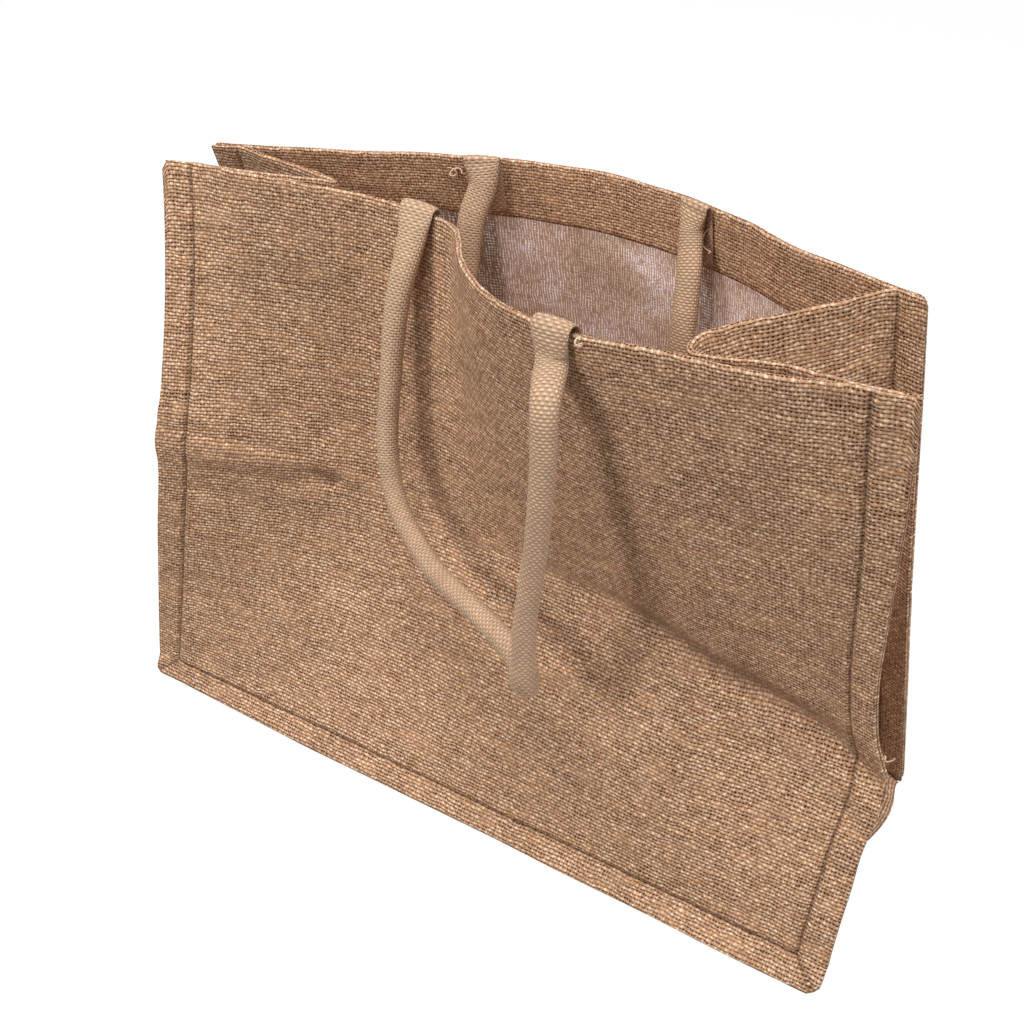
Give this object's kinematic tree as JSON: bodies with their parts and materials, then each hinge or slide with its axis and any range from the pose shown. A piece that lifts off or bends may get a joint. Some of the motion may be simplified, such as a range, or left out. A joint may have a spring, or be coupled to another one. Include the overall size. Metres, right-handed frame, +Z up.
{
  "type": "jute tote bag",
  "caption": "Woven jute tote bag standing half open, with inward-folding side gussets, pinched outside seams, a flat base and padded cotton handles.",
  "frame": {"origin": "on the surface the bag stands on, under the middle of its bounding box", "axes": "+X towards the bag's right end, +Y towards the back panel, +Z up; the front panel faces -Y"},
  "size_m": [0.4424, 0.229, 0.316],
  "materials": {
    "jute": "plain woven natural jute with a thin clear film on the inside",
    "webbing": "undyed cotton webbing in a small basket weave"
  },
  "bodies": {
    "root": {"front_panel": "jute", "back_panel": "jute", "left_gusset": "jute", "right_gusset": "jute", "base": "jute", "front_handle": "webbing", "back_handle": "webbing"}
  },
  "joints": []
}
